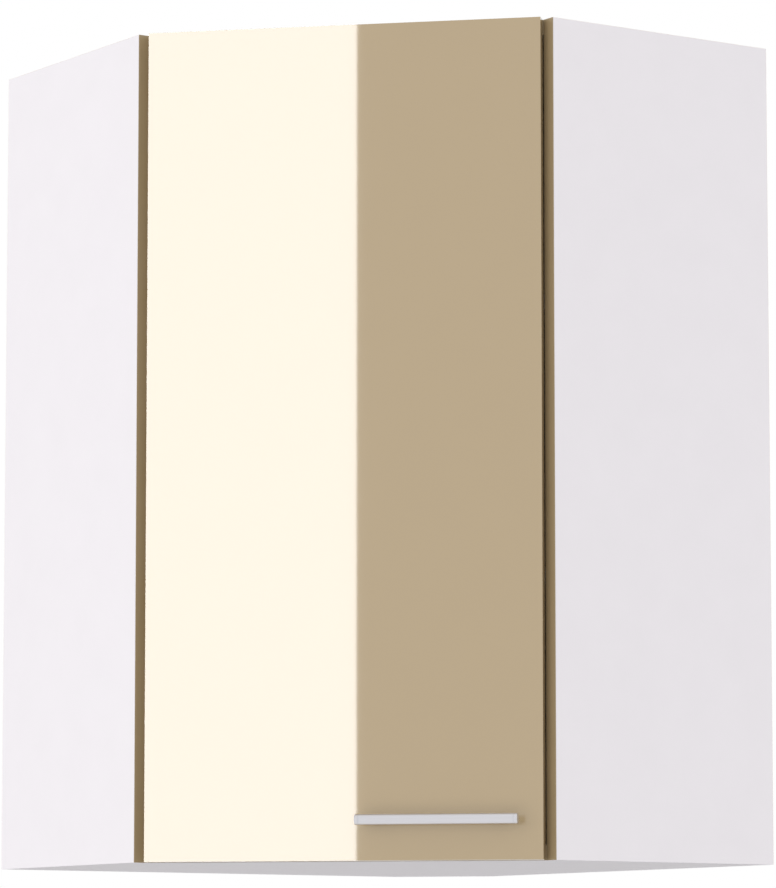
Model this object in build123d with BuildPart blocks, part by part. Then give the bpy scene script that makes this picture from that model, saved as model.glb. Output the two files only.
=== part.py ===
from build123d import *
import os
from math import sqrt

os.makedirs("parts", exist_ok=True)

# Corner wall cabinet with one door on the diagonal.
# Row frame: +Z up, origin in the middle of the square plan at the underside.
# The walls are the planes x = -half and y = +half. The door faces (+X, -Y).

# ---- carcass (mm) ----
plan_width = 600.0            # along each wall
side_depth = 285.0            # side panels, from the wall to their front edge
height = 880.0
board = 16.0                  # melamine-faced board
band = 1.0                    # edge bands
corner_clip = 80.0            # cut off the rear corner, along each wall
back_sheet = 3.0              # hardboard backs
back_recess = 12.0            # from the wall to the hardboard
groove_depth = 6.0
groove_gap = 0.2              # round the hardboard in its grooves
hanger_notch = 2.0            # cut round each hanger in the hardboard
back_screw_radius = 1.5
back_screw_length = 16.0
back_screw_head = 1.6
back_screw_count = 6
back_screw_margin = 70.0      # from the ends of the corner board

# ---- shelves ----
shelf_count = 2
shelf_gap = 1.0               # round each shelf
shelf_setback = 20.0          # behind the bottom panel's front edge
pin_radius = 2.5
pin_flat = 0.3                # cut off the top of each shelf pin
pin_depth = 9.0               # in the panel
pin_reach = 8.0               # out of the panel
pin_collar_radius = 4.0
pin_collar = 0.8
pin_pitch = 32.0
pin_rows_spare = 3            # holes above and below the used ones
pin_front = 37.0              # hole columns, from the side panel's front edge
pin_rear = 229.0
drill_gap = 0.1               # radial, round pins, dowels and cams
drill_end = 0.5               # beyond the end of what a blind hole holds

# ---- knock-down joints ----
cam_radius = 7.5
cam_depth = 12.0
cam_slot = 8.0                # opening for the bolt's head
cam_backset = 24.0            # from the panel's end to the cam's centre
cam_setbacks = (60.0, 225.0)  # from the side panel's front edge
cam_cap = 0.8                 # cover cap, above the board
cam_cap_radius = 8.5
bolt_radius = 3.0
bolt_head_radius = 3.6
bolt_head = 3.0
bolt_thread = 11.0            # in the side panel
dowel_radius = 4.0
dowel_length = 30.0
dowel_in_side = 11.0
dowel_offset = 32.0           # from the cam next to it
recess_width = 1.2            # cross recess in screws and cams
recess_length = 4.4           # in the larger screw heads

# ---- cabinet hangers ----
hanger_length = 48.0          # along the side panel
hanger_width = 21.0
hanger_height = 60.0
hanger_top = 2.0              # below the top panel
hanger_shell = 1.2            # cover cap's wall
hanger_cap_gap = 0.3          # cover cap, round the housing and its screws
hanger_screw_radius = 3.0
hanger_screw_head = 1.5
hanger_screw_setback = 7.0    # from the housing's front end
hanger_screw_heights = (18.0, 42.0)   # above the housing's lower face
setting_heights = (30.0, 54.0)
setting_depth = 8.0
pocket_length = 38.0          # for the hook, from the housing's rear end
hook_sheet = 2.5
hook_gap = 0.3                # on each side of the hook in its pocket
hook_reach = 11.0             # behind the hardboard
hook_shank = 26.0             # in the pocket
hook_height = 14.0
hook_rise = 35.0              # shank's lower edge, above the housing's lower face
hook_nose = 23.0              # down the nose, from the shank's upper edge
hook_travel = (-5.0, 8.0)     # height setting

# ---- door ----
door_side_gap = 0.5           # to the inner corner of each side panel
door_end_gap = 0.3            # below the top face and above the underside
buffer_gap = 1.0              # between the bottom panel and the door
buffer_clearance = 0.3
buffer_radius = 4.0
buffer_inset = 16.0           # from the door's opening edge
door_thickness = 16.0
gloss_skin = 1.0

# ---- handle ----
handle_length = 170.0
handle_radius = 5.5
handle_wall = 1.0
handle_cap = 4.0
handle_plug = 5.0             # cap's plug inside the bar
handle_projection = 30.0      # from the door to the bar's front
handle_spacing = 128.0        # between the posts
handle_edge = 22.5            # from the bar's end to the door's opening edge
handle_height = 41.5          # from the door's lower edge to the bar's axis
post_radius = 4.0
handle_screw_radius = 2.0
handle_screw_in_post = 12.0
handle_head_radius = 4.0
handle_head = 2.4

# ---- four-bar hinges: pivots in plan, along the door and out of the cabinet from the corner
# ---- where the left side panel's inner face meets its front edge
hinge_inset = 100.0           # from the underside and from the top to each hinge
outer_at_arm = (44.88, -8.12)
outer_at_cup = (16.76, 6.42)
inner_at_arm = (63.34, -37.71)
inner_at_cup = (15.34, 1.21)
hinge_pin_radius = 1.0
hinge_pin_gap = 0.1
inner_link_play = 0.95        # radial, at the cup, where the linkage closes
link_width = 2.6
link_eye_radius = 2.6
inner_eye_radius = 3.2        # at the cup
cheek_width = 7.0
inner_link_half = 1.5         # the link's half thickness, about the hinge's middle
cup_lugs = (1.9, 3.3)         # these three lie on both sides of the middle, from and to
outer_plates = (3.7, 5.3)
arm_cheeks = (5.7, 7.2)
rivet_head_radius = 2.0
rivet_head = 0.4
cup_radius = 17.5
cup_depth = 12.5
cup_floor = 1.0
cup_edge = 23.1               # from the door's edge to the cup's centre
cup_flange = 1.2
cup_flange_radius = 18.7
cup_pocket = (30.4, 15.2)     # along the door, and up
cup_pin_reach = 9.4           # from the hinge's middle
cup_screw_offset = (9.5, 24.0)
cup_screw_radius = 1.8
cup_screw_length = 12.0
cup_screw_head_radius = 3.5
cup_ear_radius = 5.5
plate_setback = 37.0          # from the side panel's front edge
plate_wing = 2.5
plate_wing_size = (12.0, 44.0)
plate_ridge = (40.0, 10.8, 13.5)
plate_screw_spacing = 32.0
plate_screw_radius = 2.5
arm_sheet = 1.5
arm_skirt = 7.0               # arm's sides, down over the plate's ridge
arm_screw_radius = 2.5
arm_screw_offset = 11.0       # to either side of the plate's middle
arm_screw_depth = 8.0
screw_head_radius = 4.0
screw_head = 1.5

half = plan_width / 2
diagonal = sqrt(2)
front_line = (side_depth - board) / diagonal          # from the centre to the inner corners' plane
opening_width = diagonal * (plan_width - side_depth - board)
clip_line = (plan_width - corner_clip) / diagonal         # from the centre to the rear cut
back_face = half - back_recess - back_sheet           # inner face of the hardboard
side_inner = half - board
mirror_plane = Plane(origin=(0, 0, 0), x_dir=(1, -1, 0), z_dir=(1, 1, 0))

side_front = side_depth - half                        # x of the left panel's front edge
back_outer = half - back_recess                       # outer face of the hardboard
back_end = plan_width - corner_clip - back_outer - shelf_gap
groove_floor = board - groove_depth
compartment = (height - (2 + shelf_count) * board) / (shelf_count + 1)
shelf_levels = [board + (i + 1) * compartment + i * board for i in range(shelf_count)]
dowel_setbacks = (cam_setbacks[0] + dowel_offset, cam_setbacks[1] - dowel_offset)
LOW = (Align.CENTER, Align.CENTER, Align.MIN)
CORNER = (Align.MIN, Align.MIN, Align.MIN)

# Working planes. On each, local y is up or unused and local z is the face's outward normal.
left_inner = Plane(origin=(side_front, -side_inner, 0), x_dir=(-1, 0, 0), z_dir=(0, 1, 0))
corner_inner = Plane(
    origin=((board - clip_line) / diagonal, (clip_line - board) / diagonal, 0),
    x_dir=(1, 1, 0),
    z_dir=(1, -1, 0),
)
front_plane = Plane(
    origin=(front_line / diagonal, -front_line / diagonal, 0), x_dir=(1, 1, 0), z_dir=(1, -1, 0)
)


def six_corners(side, back, front, rear):
    """Plan outline between the side panels. Its side edges lie `side` from the centre, its back
    edges `back`, and its cut front and rear `front` and `rear`, measured along the diagonal."""
    return [
        (-back, -side),
        (front * diagonal - side, -side),
        (side, side - front * diagonal),
        (side, back),
        (back - rear * diagonal, back),
        (-back, rear * diagonal - back),
    ]


def front_strip(side, front, depth):
    """Plan outline of a band on a cut front."""
    inner = front - depth
    return [
        (inner * diagonal - side, -side),
        (front * diagonal - side, -side),
        (side, side - front * diagonal),
        (side, side - inner * diagonal),
    ]


def plan_face(corners, level):
    """Flat face with the given plan outline, `level` above the underside."""
    with BuildSketch(Plane.XY.offset(level)) as face:
        with BuildLine():
            Polyline(*corners, close=True)
        make_face()
    return face.sketch


def end_planes(level):
    """Planes on the left and right ends of a board between the side panels: x runs back from
    its front corner and z points out of the board."""
    left = Plane(origin=(side_front, -side_inner, level), x_dir=(-1, 0, 0), z_dir=(0, -1, 0))
    right = Plane(origin=(side_inner, -side_front, level), x_dir=(0, 1, 0), z_dir=(1, 0, 0))
    return [left, right]


def end_places(setbacks, offset=0.0):
    """Points on an end plane, at these distances behind the front corner."""
    return Locations(*[(setback, 0, offset) for setback in setbacks])


def finish(builder, name):
    """Label a finished piece and write it."""
    builder.part.label = name
    export_step(builder.part, f"parts/{name}.step")


# ---- grooves for the hardboard, cut from sides, bottom and top alike ----
with BuildPart() as grooves:
    with Locations((-back_outer - groove_gap, -side_inner - groove_depth, groove_floor)):
        Box(
            back_sheet + 2 * groove_gap,
            back_end + side_inner + groove_depth + groove_gap,
            height - 2 * groove_floor,
            align=CORNER,
        )
    mirror(about=mirror_plane)

# ---- side panels: groove, pin holes, bolt and dowel holes, hanger screw holes ----
hanger_floor = height - board - hanger_top - hanger_height
hanger_front = hanger_length - back_face              # x of the housing's front end
hanger_screw_x = hanger_front - hanger_screw_setback
hanger_screw_levels = [hanger_floor + z for z in hanger_screw_heights]


def pin_rows():
    """Heights of the shelf-pin holes, three above and three below each used one."""
    steps = range(-pin_rows_spare, pin_rows_spare + 1)
    return [level - pin_radius + pin_flat + i * pin_pitch for level in shelf_levels for i in steps]


with BuildPart() as side_blank:
    with Locations((-half, -half, 0)):
        Box(side_depth - band, board, height, align=CORNER)
    with Locations(left_inner):
        with Locations(*[(x, z) for x in (pin_front, pin_rear) for z in pin_rows()]):
            Hole(pin_radius + drill_gap, pin_depth + drill_end)
        ends = (board / 2, height - board / 2)
        with Locations(*[(x, z) for x in cam_setbacks for z in ends]):
            Hole(bolt_radius + drill_gap, bolt_thread + drill_end)
        with Locations(*[(x, z) for x in dowel_setbacks for z in ends]):
            Hole(dowel_radius + drill_gap, dowel_in_side + drill_end)
        with Locations(*[(side_front - hanger_screw_x, z) for z in hanger_screw_levels]):
            Hole(hanger_screw_radius + drill_gap, bolt_thread + drill_end)
    add(grooves.part, mode=Mode.SUBTRACT)

hinge_levels = (hinge_inset, height - hinge_inset)
plate_screw_places = [
    (plate_setback, level + side * plate_screw_spacing / 2)
    for level in hinge_levels
    for side in (-1, 1)
]
with BuildPart() as left_side_panel:
    add(side_blank.part)
    with Locations(left_inner):
        with Locations(*plate_screw_places):
            Hole(plate_screw_radius + drill_gap, bolt_thread + drill_end)
finish(left_side_panel, "left_side_panel")

with BuildPart() as right_side_panel:
    mirror(side_blank.part, about=mirror_plane)
finish(right_side_panel, "right_side_panel")

with BuildPart() as left_side_front_band:
    with Locations((side_front - band, -half, 0)):
        Box(band, board, height, align=CORNER)
finish(left_side_front_band, "left_side_front_band")

with BuildPart() as right_side_front_band:
    mirror(left_side_front_band.part, about=mirror_plane)
finish(right_side_front_band, "right_side_front_band")

# ---- bottom and top: cam, bolt and dowel bores at both ends ----
corner_dowels = (-dowel_offset, dowel_offset)
corner_middle = corner_inner.offset(-board / 2)


def end_board(level):
    """Bottom or top panel at its level, with the cams let in from its upper face."""
    with BuildPart() as blank:
        extrude(plan_face(six_corners(side_inner, half, front_line - band, clip_line), level), board)
        with Locations(*cam_locations(level + board)):
            Hole(cam_radius + drill_gap, cam_depth + drill_end)
        with Locations(*end_planes(level + board / 2)):
            with end_places(cam_setbacks):
                Hole(bolt_head_radius + drill_gap, cam_backset + bolt_head / 2 + drill_end)
            with end_places(dowel_setbacks):
                Hole(dowel_radius + drill_gap, dowel_length - dowel_in_side + drill_end)
        add(grooves.part, mode=Mode.SUBTRACT)
    return blank.part


def cam_locations(level):
    """One location for each cam of an end board, its local -y towards the side panel."""
    left = [(side_front - setback, cam_backset - side_inner) for setback in cam_setbacks]
    places = [Location((x, y, level)) for x, y in left]
    return places + [Location((-y, -x, level), (0, 0, 90)) for x, y in left]


def corner_dowel_places(level):
    """Where the corner board's dowels stand, `level` above the underside."""
    points = [corner_middle.from_local_coords((u, level, 0)) for u in corner_dowels]
    return Locations(*points)


with BuildPart() as bottom_panel:
    add(end_board(0))
    with corner_dowel_places(board):
        Hole(dowel_radius + drill_gap, dowel_in_side + drill_end)
finish(bottom_panel, "bottom_panel")

with BuildPart() as top_panel:
    add(end_board(height - board))
    with corner_dowel_places(height - board - drill_end):
        Cylinder(
            dowel_radius + drill_gap,
            dowel_in_side + 2 * drill_end,
            align=LOW,
            mode=Mode.SUBTRACT,
        )
finish(top_panel, "top_panel")

for name, level in (("bottom_front_band", 0), ("top_front_band", height - board)):
    with BuildPart() as end_band:
        extrude(plan_face(front_strip(side_inner, front_line, band), level), board)
    finish(end_band, name)

# ---- shelves ----
shelf_side = side_inner - shelf_gap
shelf_front = front_line - shelf_setback
for name, level in zip(("lower", "upper"), shelf_levels):
    with BuildPart() as shelf:
        outline = six_corners(
            shelf_side, back_face - shelf_gap, shelf_front - band, clip_line - board - shelf_gap
        )
        extrude(plan_face(outline, level), board)
    finish(shelf, f"{name}_shelf")
    with BuildPart() as shelf_band:
        extrude(plan_face(front_strip(shelf_side, shelf_front, band), level), board)
    finish(shelf_band, f"{name}_shelf_band")

# ---- hardboard backs and the board across the rear corner ----
back_screw_y = (back_end + (clip_line - board) * diagonal - back_face) / 2
back_screw_plane = Plane(origin=(-back_outer, back_screw_y, 0), x_dir=(0, -1, 0), z_dir=(-1, 0, 0))


def back_screw_places():
    """Evenly spaced up the corner board, on the plane of the left hardboard's outer face."""
    step = (height - 2 * back_screw_margin) / (back_screw_count - 1)
    return Locations(*[(0, back_screw_margin + i * step) for i in range(back_screw_count)])


with BuildPart() as back_blank:
    with Locations((-back_outer, -side_inner - groove_depth + groove_gap, groove_floor + groove_gap)):
        Box(
            back_sheet,
            back_end + side_inner + groove_depth - groove_gap,
            height - 2 * (groove_floor + groove_gap),
            align=CORNER,
        )
    with Locations((-half, -half, hanger_floor - hanger_notch)):
        Box(
            half, board + hanger_width + hanger_notch, board + hanger_height + hanger_notch,
            align=CORNER,
            mode=Mode.SUBTRACT,
        )
    with Locations(back_screw_plane):
        with back_screw_places():
            Hole(back_screw_radius + drill_gap, back_sheet)

with BuildPart() as left_back_panel:
    add(back_blank.part)
finish(left_back_panel, "left_back_panel")

with BuildPart() as right_back_panel:
    mirror(back_blank.part, about=mirror_plane)
finish(right_back_panel, "right_back_panel")

with BuildPart() as back_panel_screws:
    with Locations(back_screw_plane):
        with back_screw_places():
            Cone(back_screw_radius, 2 * back_screw_radius, back_screw_head, align=LOW)
        with back_screw_places():
            Cylinder(
                back_screw_radius, back_screw_length, align=(Align.CENTER, Align.CENTER, Align.MAX)
            )
    mirror(about=mirror_plane)
finish(back_panel_screws, "back_panel_screws")

with BuildPart() as screw_bores:
    with Locations(back_screw_plane):
        with back_screw_places():
            Cylinder(
                back_screw_radius + drill_gap,
                back_screw_length + drill_end,
                align=(Align.CENTER, Align.CENTER, Align.MAX),
            )
    mirror(about=mirror_plane)

with BuildPart() as corner_back_board:
    inner_cut = (clip_line - board) * diagonal - back_face
    outer_cut = clip_line * diagonal - back_face
    ring = [
        (-back_face, inner_cut), (-inner_cut, back_face),
        (-outer_cut, back_face), (-back_face, outer_cut),
    ]
    extrude(plan_face(ring, board), height - 2 * board)
    with Locations(corner_inner):
        with Locations(*[(u, z) for u in (-pin_pitch, pin_pitch) for z in pin_rows()]):
            Hole(pin_radius + drill_gap, pin_depth + drill_end)
    bore_length = dowel_length - dowel_in_side + drill_end
    for level in (board, height - board - bore_length):
        with corner_dowel_places(level):
            Cylinder(dowel_radius + drill_gap, bore_length, align=LOW, mode=Mode.SUBTRACT)
    add(screw_bores.part, mode=Mode.SUBTRACT)
finish(corner_back_board, "corner_back_board")

# ---- cams, bolts, caps and dowels ----
with BuildPart() as cam:
    Cylinder(cam_radius, cam_depth, align=(Align.CENTER, Align.CENTER, Align.MAX))
    with Locations((0, -cam_radius / 2, -board / 2)):
        Box(cam_slot, 2 * cam_slot, cam_slot, mode=Mode.SUBTRACT)
    for spin in (0, 90):
        Box(cam_radius, recess_width, 2 * recess_width, rotation=(0, 0, spin), mode=Mode.SUBTRACT)

with BuildPart() as cam_bolt:
    with Locations(Plane(origin=(0, 0, -board / 2), z_dir=(0, -1, 0))):
        with Locations((0, 0, -bolt_head / 2)):
            Cylinder(bolt_head_radius, bolt_head, align=LOW)
        Cylinder(bolt_radius, cam_backset + bolt_thread, align=LOW)

both_levels = (board, height)
with BuildPart() as cam_housings:
    for level in both_levels:
        with Locations(*cam_locations(level)):
            add(cam.part)
finish(cam_housings, "cam_housings")

with BuildPart() as cam_bolts:
    for level in both_levels:
        with Locations(*cam_locations(level)):
            add(cam_bolt.part)
finish(cam_bolts, "cam_bolts")

with BuildPart() as cam_cover_caps:
    with Locations(*cam_locations(board)):
        Cylinder(cam_cap_radius, cam_cap, align=LOW)
finish(cam_cover_caps, "cam_cover_caps")

with BuildPart() as wooden_dowels:
    for level in (board / 2, height - board / 2):
        with Locations(*end_planes(level)):
            with end_places(dowel_setbacks, dowel_in_side - dowel_length):
                Cylinder(dowel_radius, dowel_length, align=LOW)
    for level in (board - dowel_in_side, height - board + dowel_in_side - dowel_length):
        with corner_dowel_places(level):
            Cylinder(dowel_radius, dowel_length, align=LOW)
finish(wooden_dowels, "wooden_dowels")

# ---- shelf pins ----
with BuildPart() as pin:
    with Locations((0, 0, -pin_depth)):
        Cylinder(pin_radius, pin_depth + pin_reach, align=LOW)
    with Locations((0, pin_radius - pin_flat, pin_collar)):
        Box(
            2 * pin_radius, pin_radius, pin_reach, align=(Align.CENTER, Align.MIN, Align.MIN),
            mode=Mode.SUBTRACT,
        )
    Cylinder(pin_collar_radius, pin_collar, align=LOW)

used_rows = [level - pin_radius + pin_flat for level in shelf_levels]
with BuildPart() as shelf_pins:
    with Locations(left_inner):
        with Locations(*[(x, z) for x in (pin_front, pin_rear) for z in used_rows]):
            add(pin.part)
    mirror(about=mirror_plane)
    with Locations(corner_inner):
        with Locations(*[(u, z) for u in (-pin_pitch, pin_pitch) for z in used_rows]):
            add(pin.part)
finish(shelf_pins, "shelf_pins")

# ---- cabinet hangers: one at the top rear of each side panel ----
hook_level = hanger_floor + hook_rise
hook_middle = hanger_width / 2 - side_inner
hook_tip = -back_outer - hook_reach
hanger_side = Plane(
    origin=(hanger_screw_x, hanger_width - side_inner, 0), x_dir=(-1, 0, 0), z_dir=(0, 1, 0)
)

with BuildPart() as left_housing:
    with Locations((-back_face, -side_inner, hanger_floor)):
        Box(hanger_length, hanger_width, hanger_height, align=CORNER)
    with Locations((-back_face, hook_middle, hook_level + hook_travel[0] - hook_gap)):
        Box(
            pocket_length,
            hook_sheet + 2 * hook_gap,
            hook_height + hook_travel[1] - hook_travel[0] + 2 * hook_gap,
            align=(Align.MIN, Align.CENTER, Align.MIN),
            mode=Mode.SUBTRACT,
        )
    with Locations(hanger_side):
        with Locations(*[(0, z) for z in hanger_screw_levels]):
            Hole(hanger_screw_radius + drill_gap, hanger_width)

with BuildPart() as hanger_housings:
    add(left_housing.part)
    mirror(about=mirror_plane)

# height and depth setting screws in the housing's front end
setting_levels = [hanger_floor + z for z in setting_heights]
setting_plane = Plane(origin=(hanger_front, hook_middle, 0), x_dir=(0, 1, 0), z_dir=(1, 0, 0))
with BuildPart() as setting_screws:
    with Locations(setting_plane):
        with Locations(*[(0, z, -setting_depth) for z in setting_levels]):
            Cylinder(hanger_screw_radius, setting_depth + hanger_screw_head, align=LOW)
        with Locations(*[(0, z, hanger_screw_head) for z in setting_levels]):
            for size in ((hanger_screw_radius, recess_width), (recess_width, hanger_screw_radius)):
                Box(*size, recess_width, mode=Mode.SUBTRACT)

with BuildPart() as setting_bores:
    with Locations(setting_plane):
        with Locations(*[(0, z, -setting_depth - drill_end) for z in setting_levels]):
            Cylinder(hanger_screw_radius + drill_gap, 3 * setting_depth, align=LOW)
    mirror(about=mirror_plane)

with BuildPart() as hanger_adjusting_screws:
    add(setting_screws.part)
    mirror(about=mirror_plane)
finish(hanger_adjusting_screws, "hanger_adjusting_screws")

with BuildPart() as bored_housings:
    add(hanger_housings.part)
    add(setting_bores.part, mode=Mode.SUBTRACT)
finish(bored_housings, "hanger_housings")

with BuildPart() as hanger_fixing_screws:
    with Locations(hanger_side):
        with Locations(*[(0, z) for z in hanger_screw_levels]):
            Cylinder(
                hanger_screw_radius, hanger_width + bolt_thread,
                align=(Align.CENTER, Align.CENTER, Align.MAX),
            )
            Cylinder(hanger_screw_radius + 1, hanger_screw_head, align=LOW)
    mirror(about=mirror_plane)
finish(hanger_fixing_screws, "hanger_fixing_screws")

# cover cap over each housing, open at the rear and towards the side panel
cap_side = hanger_width + hanger_screw_head + hanger_cap_gap
cap_front = hanger_length + hanger_screw_head + hanger_cap_gap
with BuildPart() as hanger_cover_caps:
    with Locations((-back_face, -side_inner, hanger_floor - hanger_cap_gap - hanger_shell)):
        Box(
            cap_front + hanger_shell, cap_side + hanger_shell,
            hanger_height + 2 * (hanger_cap_gap + hanger_shell),
            align=CORNER,
        )
    with Locations((-back_face, -side_inner, hanger_floor - hanger_cap_gap)):
        Box(
            cap_front, cap_side, hanger_height + 2 * hanger_cap_gap,
            align=CORNER,
            mode=Mode.SUBTRACT,
        )
    mirror(about=mirror_plane)
finish(hanger_cover_caps, "hanger_cover_caps")

# hook: a flat shank out of the pocket with a nose turned down behind the hardboard
hook_plane = Plane(origin=(0, hook_middle, 0), x_dir=(1, 0, 0), z_dir=(0, -1, 0))
hook_root = pocket_length - back_face - (pocket_length - hook_shank) / 2
with BuildPart() as left_hanger_hook:
    with BuildSketch(hook_plane):
        with BuildLine():
            Polyline(
                (hook_root, hook_level),
                (hook_root, hook_level + hook_height),
                (hook_tip, hook_level + hook_height),
                (hook_tip, hook_level + hook_height - hook_nose),
                (hook_tip + hook_sheet, hook_level + hook_height - hook_nose),
                (hook_tip + hook_sheet + 1, hook_level),
                close=True,
            )
        make_face()
    extrude(amount=hook_sheet / 2, both=True)
finish(left_hanger_hook, "left_hanger_hook")

with BuildPart() as right_hanger_hook:
    mirror(left_hanger_hook.part, about=mirror_plane)
finish(right_hanger_hook, "right_hanger_hook")

# ---- door: core, glossy front and edge bands, on the plane of the cut front ----
door_width = opening_width - 2 * door_side_gap
door_height = height - 2 * door_end_gap
door_middle = height / 2
skin_back = buffer_gap + door_thickness - gloss_skin
door_front = buffer_gap + door_thickness
handle_axis = door_front + handle_projection - handle_radius
handle_level = door_end_gap + handle_height
handle_middle = door_width / 2 - handle_edge - handle_length / 2
post_places = [(handle_middle + side * handle_spacing / 2, handle_level) for side in (-1, 1)]
handle_bar_axis = Plane(
    origin=front_plane.from_local_coords((handle_middle, handle_level, handle_axis)),
    x_dir=(0, 0, 1),
    z_dir=(1, 1, 0),
)


def door_slab(back, thickness, margin):
    """Flat slab parallel to the door, its edges `margin` inside the door's."""
    with BuildSketch(front_plane.offset(back)) as outline:
        with Locations((0, door_middle)):
            Rectangle(door_width - 2 * margin, door_height - 2 * margin)
    return extrude(outline.sketch, thickness)


def handle_screw_holes():
    """Bore both handle screw holes through the piece being built."""
    with Locations(front_plane.offset(door_front)):
        with Locations(*post_places):
            Hole(handle_screw_radius + drill_gap, door_thickness)


cup_middle = cup_edge + door_side_gap - opening_width / 2
cup_screw_places = [
    (cup_middle + cup_screw_offset[0], level + side * cup_screw_offset[1])
    for level in hinge_levels
    for side in (-1, 1)
]
with BuildPart() as door_board:
    add(door_slab(buffer_gap, door_thickness - gloss_skin, band))
    handle_screw_holes()
    with Locations(front_plane.offset(buffer_gap)):
        with Locations(*[(cup_middle, level) for level in hinge_levels]):
            Cylinder(cup_radius + drill_gap, cup_depth + drill_end, align=LOW, mode=Mode.SUBTRACT)
        with Locations(*cup_screw_places):
            Cylinder(
                cup_screw_radius + drill_gap, cup_screw_length + drill_end, align=LOW,
                mode=Mode.SUBTRACT,
            )
finish(door_board, "door_board")

with BuildPart() as door_gloss_front:
    add(door_slab(skin_back, gloss_skin, band))
    handle_screw_holes()
finish(door_gloss_front, "door_gloss_front")

with BuildPart() as door_edge_bands:
    with Locations(front_plane.offset(buffer_gap)):
        for side in (-1, 1):
            with Locations((side * (door_width - band) / 2, door_middle)):
                Box(band, door_height, door_thickness, align=LOW)
            with Locations((0, door_middle + side * (door_height - band) / 2)):
                Box(door_width - 2 * band, band, door_thickness, align=LOW)
finish(door_edge_bands, "door_edge_bands")

with BuildPart() as door_buffers:
    with Locations(front_plane.offset(buffer_clearance)):
        with Locations(*[(door_width / 2 - buffer_inset, z) for z in ends]):
            Cylinder(buffer_radius, buffer_gap - buffer_clearance, align=LOW)
finish(door_buffers, "door_buffers")

# ---- handle: tube, end caps, posts and screws ----
def cross_recess():
    """Cut a cross recess for a screwdriver at each current place."""
    for size in ((recess_length, recess_width), (recess_width, recess_length)):
        Box(*size, recess_width, mode=Mode.SUBTRACT)


tube_length = handle_length - 2 * handle_cap
with BuildPart() as handle_bar:
    with Locations(handle_bar_axis):
        Cylinder(handle_radius, tube_length)
        Cylinder(handle_radius - handle_wall, tube_length, mode=Mode.SUBTRACT)
finish(handle_bar, "handle_bar")

with BuildPart() as handle_end_caps:
    with Locations(handle_bar_axis):
        for side in (-1, 1):
            with Locations((0, 0, side * (handle_length - handle_cap) / 2)):
                Cylinder(handle_radius, handle_cap)
            with Locations((0, 0, side * (tube_length - handle_plug) / 2)):
                Cylinder(handle_radius - handle_wall - drill_gap, handle_plug)
finish(handle_end_caps, "handle_end_caps")

with BuildPart() as handle_posts:
    with Locations(front_plane.offset(door_front)):
        with Locations(*post_places):
            Cylinder(post_radius, handle_axis - door_front, align=LOW)
            Cylinder(
                handle_screw_radius + drill_gap, handle_screw_in_post + drill_end, align=LOW,
                mode=Mode.SUBTRACT,
            )
    with Locations(handle_bar_axis):
        Cylinder(handle_radius, handle_length, mode=Mode.SUBTRACT)
finish(handle_posts, "handle_posts")

with BuildPart() as handle_screws:
    with Locations(front_plane.offset(buffer_gap)):
        with Locations(*post_places):
            Cylinder(handle_screw_radius, door_thickness + handle_screw_in_post, align=LOW)
            Cylinder(
                handle_head_radius, handle_head, align=(Align.CENTER, Align.CENTER, Align.MAX)
            )
    with Locations(front_plane.offset(buffer_gap - handle_head)):
        with Locations(*post_places):
            cross_recess()
finish(handle_screws, "handle_screws")

# ---- hinges: mounting plate, arm, two links and cup, alike at both levels ----
plate_top = left_inner.offset(plate_wing)
arm_top = left_inner.offset(plate_ridge[2] + arm_sheet)
arm_screw_places = [(plate_setback + side * arm_screw_offset, level, 0)
                    for side in (-1, 1) for level in hinge_levels]


def hinge_plan(level):
    """Plan view at `level`: local x along the door, local y out of the cabinet, z down."""
    corner = front_plane.from_local_coords((-opening_width / 2, level, 0))
    return Plane(origin=corner, x_dir=(1, 1, 0), z_dir=(0, 0, -1))


def panel_point(setback, height_off):
    """Hinge-plan point this far behind the side panel's front edge and off its inner face."""
    return ((height_off - setback) / diagonal, -(height_off + setback) / diagonal)


def round_strip(level, points, width):
    """Strip in plan along `points`, with round corners."""
    with BuildSketch(hinge_plan(level)) as outline:
        with BuildLine():
            Polyline(*points)
        trace(line_width=width)
        with Locations(*points):
            Circle(width / 2)
    return outline.sketch


def round_pad(level, point, radius):
    """Disc in plan."""
    with BuildSketch(hinge_plan(level)) as outline:
        with Locations(point):
            Circle(radius)
    return outline.sketch


def pin_bore(level, point, radius, reach):
    """Bore along z through the piece being built, `reach` to both sides of `level`."""
    with Locations(hinge_plan(level)):
        with Locations(point):
            Cylinder(radius, 2 * reach, mode=Mode.SUBTRACT)


def both_sides(level, layer):
    """Upper ends of the two layers, alike above and below the hinge's middle."""
    return (level + layer[1], level - layer[0])


pin_hole = hinge_pin_radius + hinge_pin_gap
outer_route = [
    outer_at_cup, (26.4, 10.9), (32.4, 10.0), (35.8, 6.5), (35.4, -2.0), (41.4, -8.0),
    outer_at_arm,
]
inner_route = [inner_at_cup, (24.92, 1.0), inner_at_arm]
ridge_front = plate_setback - plate_ridge[0] / 2
ridge_rear = plate_setback + plate_ridge[0] / 2
cheek_root = panel_point(ridge_front + cheek_width / 2, plate_ridge[2] + arm_sheet - cheek_width / 2)
outer_branch = [outer_at_arm, (34.92, -18.0), (7.42, -18.5), cheek_root]
inner_branch = [inner_at_arm, (15.92, -37.5), cheek_root]
arm_back = plate_ridge[2] + arm_sheet
skirt = [
    panel_point(ridge_front, arm_back - arm_skirt), panel_point(ridge_front, arm_back),
    panel_point(ridge_rear, arm_back), panel_point(ridge_rear, arm_back - arm_skirt),
]
cheek_sheet = arm_cheeks[1] - arm_cheeks[0]
plate_sheet = outer_plates[1] - outer_plates[0]
lug_sheet = cup_lugs[1] - cup_lugs[0]

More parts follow.
